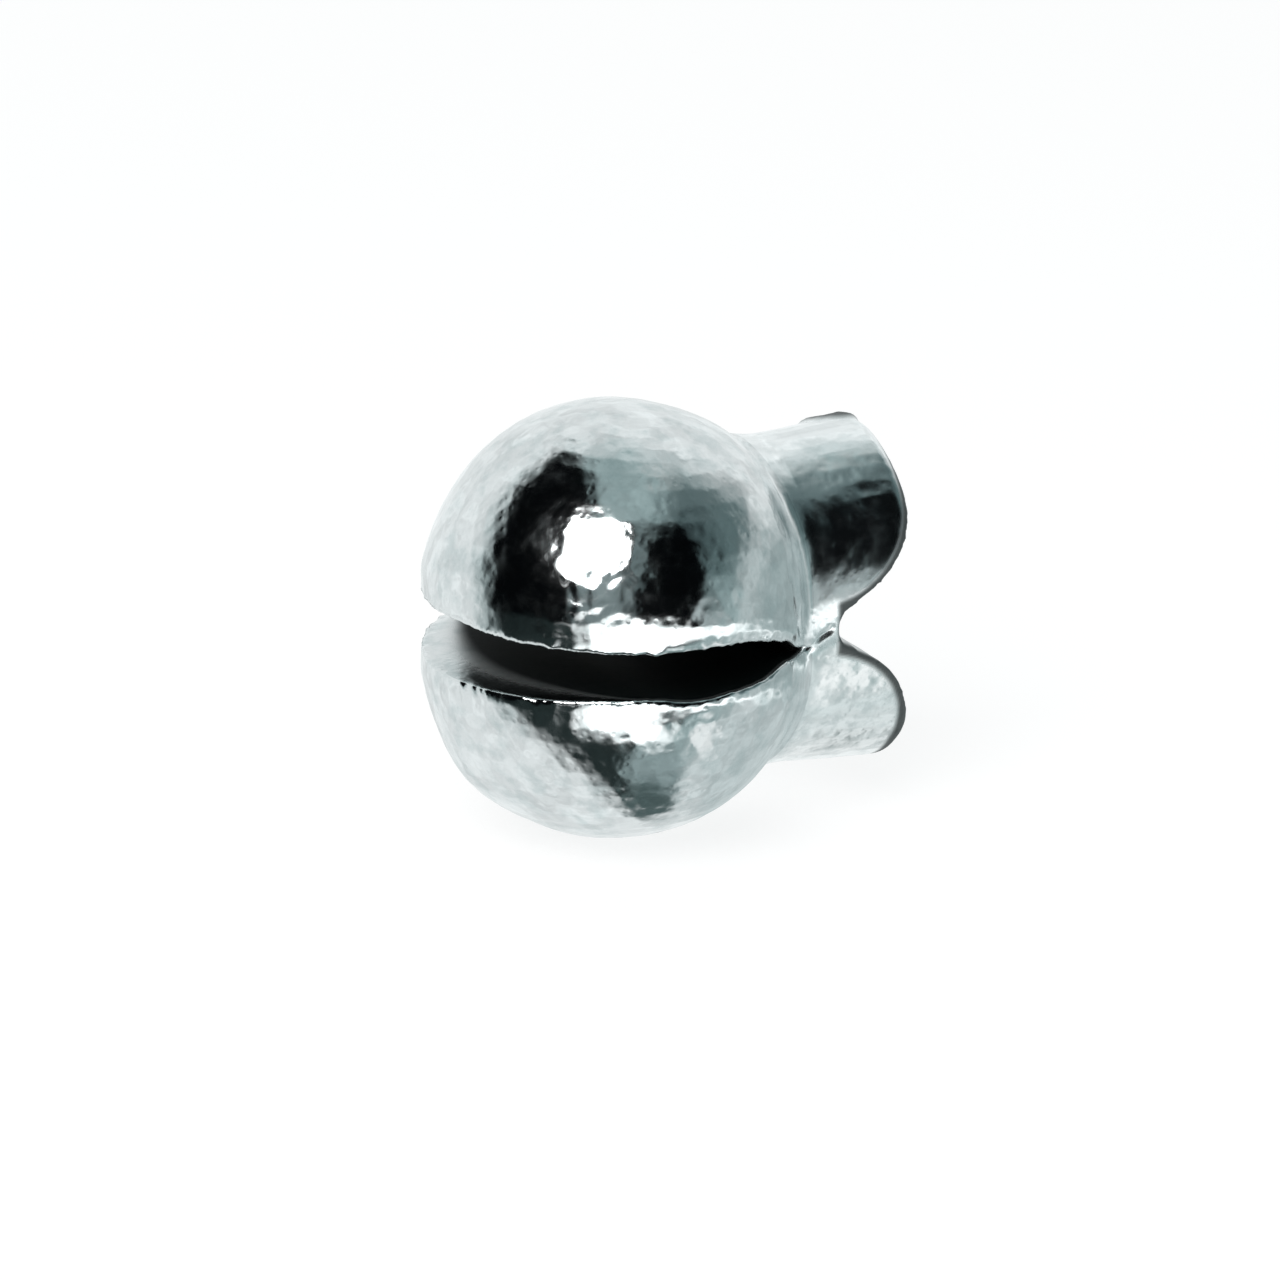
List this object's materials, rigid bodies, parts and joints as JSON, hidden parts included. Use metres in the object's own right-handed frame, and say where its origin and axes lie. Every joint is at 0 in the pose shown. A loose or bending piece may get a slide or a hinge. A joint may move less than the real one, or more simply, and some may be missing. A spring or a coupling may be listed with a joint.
{
  "type": "removable split shot fishing sinker",
  "caption": "Slotted ball of bright cast metal with two pinchable ears behind it; the jaws bend on a thin web to grip or free a fishing line.",
  "frame": {"origin": "middle of the rounded seat at the root of the slot, where the line lies", "axes": "+X from the mouth to the ears, +Y along the line and the bending line of the web, +Z from the lower half to the upper half"},
  "size_m": [0.0099, 0.0082, 0.0094],
  "materials": {
    "cast_metal": "bright soft cast metal, tumbled, with small dents and pits"
  },
  "bodies": {
    "lower_half": {"lower_jaw": "cast_metal", "lower_ear": "cast_metal", "hinge_web": "cast_metal"},
    "upper_half": {"upper_jaw": "cast_metal", "upper_ear": "cast_metal"}
  },
  "joints": [
    {"name": "jaw_hinge", "type": "hinge", "parent": "lower_half", "child": "upper_half", "pos_m": [0.00061, 0, 0], "axis": [0, 1, 0], "range_deg": [-9.3, 24], "deforming": ["hinge_web"]}
  ]
}
